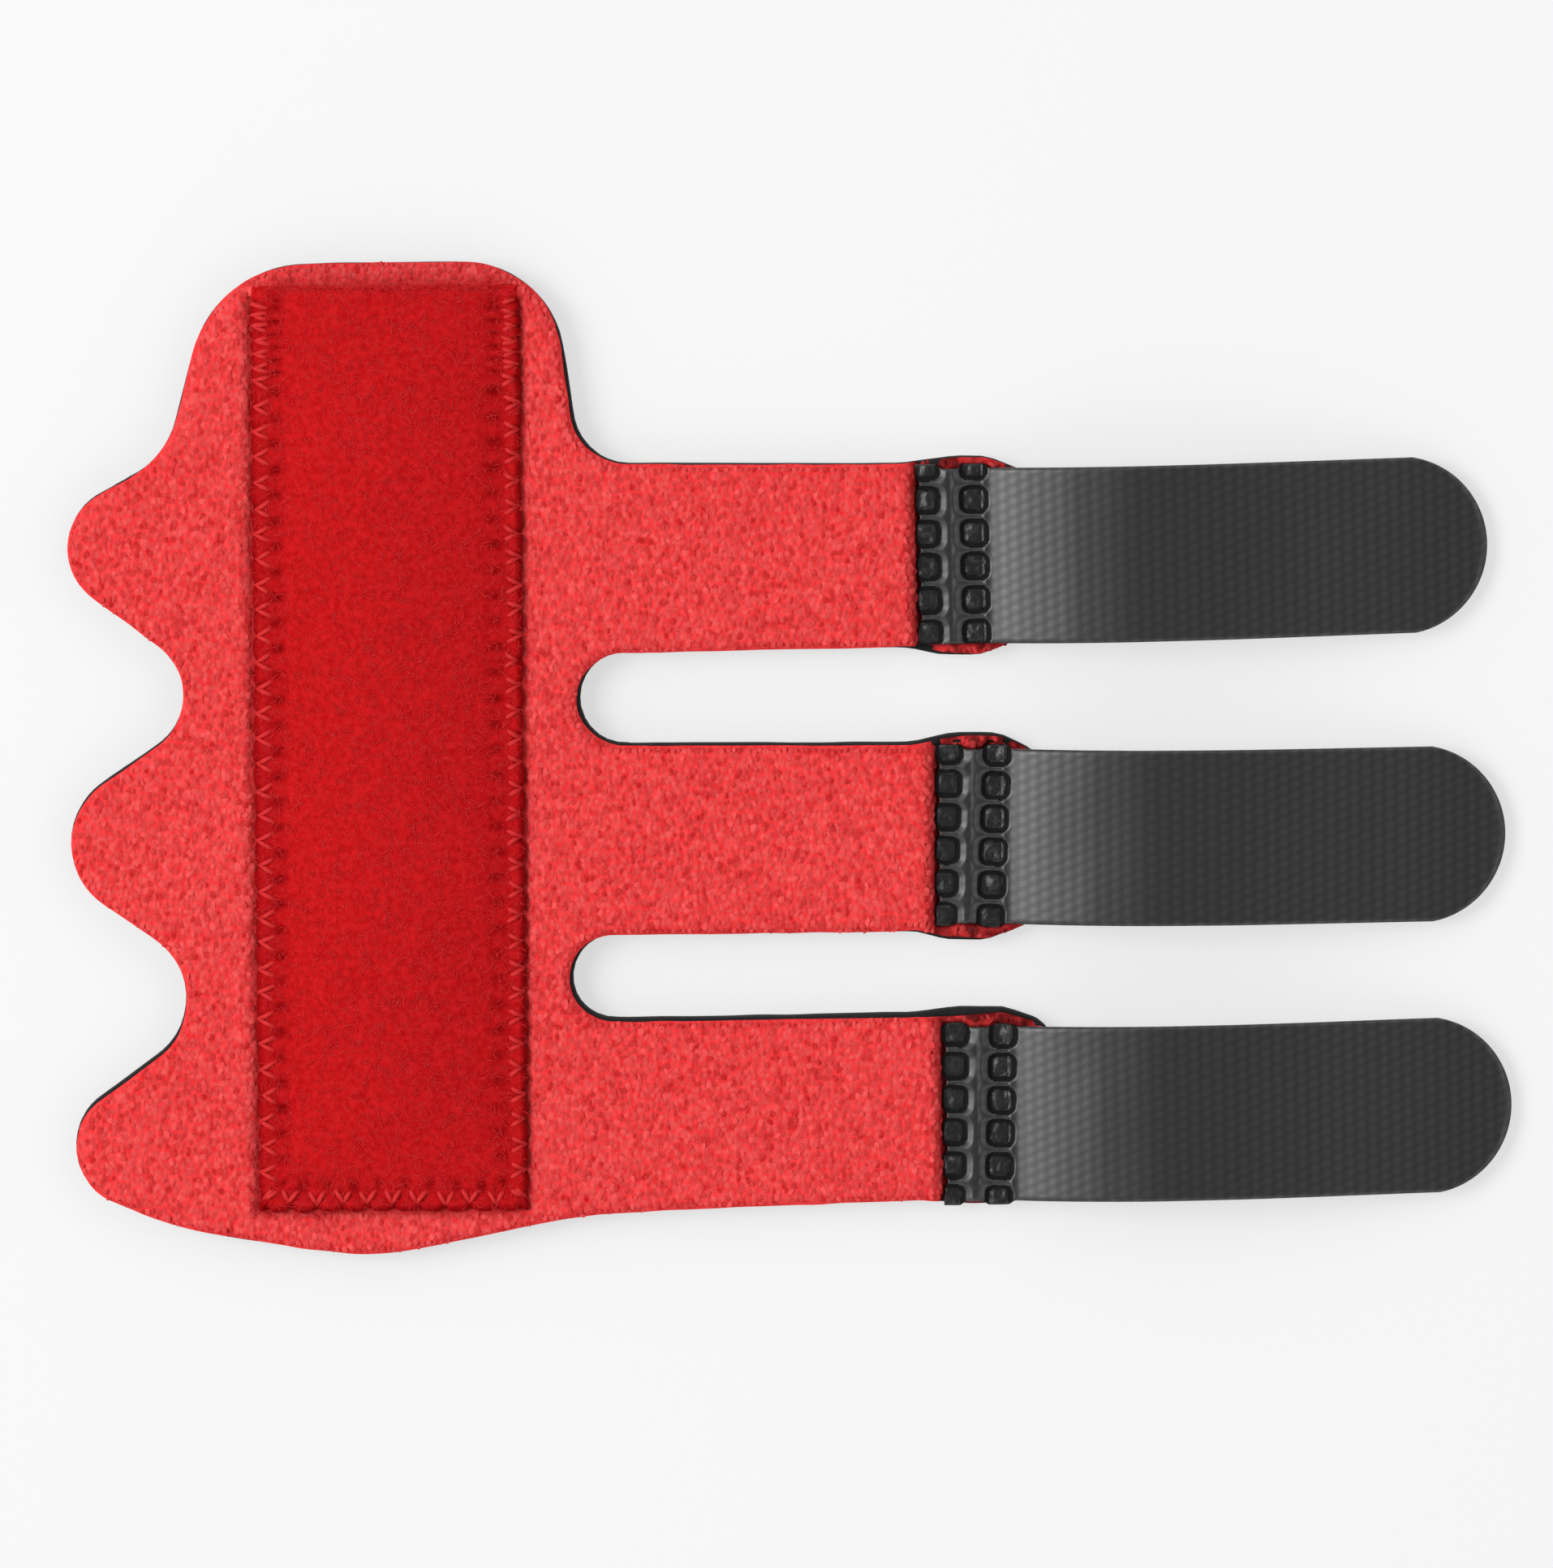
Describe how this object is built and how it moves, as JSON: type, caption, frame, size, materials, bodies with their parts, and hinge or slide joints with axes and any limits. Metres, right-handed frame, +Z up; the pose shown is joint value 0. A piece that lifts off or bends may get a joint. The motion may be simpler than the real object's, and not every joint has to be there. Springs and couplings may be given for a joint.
{
  "type": "soft finger splint laid open flat",
  "caption": "Soft red finger splint lying open: scalloped foam panel with a sewn pocket for a stay, and straps ending in black hook tabs.",
  "frame": {"origin": "on the table, at the middle of the splint's length and width", "axes": "+X along the straps towards the hook tabs, +Y towards the fingertip end of the panel, +Z up, out of the loop face"},
  "size_m": [0.1354, 0.0934, 0.006],
  "materials": {
    "black_foam": "matt closed-cell foam with a knitted skin",
    "red_loop_cloth": "matt looped pile",
    "red_plush": "brushed plush",
    "black_hook_plastic": "moulded, semi-matt"
  },
  "bodies": {
    "root": {"foam_backing": "black_foam", "loop_face": "red_loop_cloth", "stay_pocket": "red_plush", "hook_tab_upper": "black_hook_plastic", "hook_tab_middle": "black_hook_plastic", "hook_tab_lower": "black_hook_plastic"}
  },
  "joints": []
}
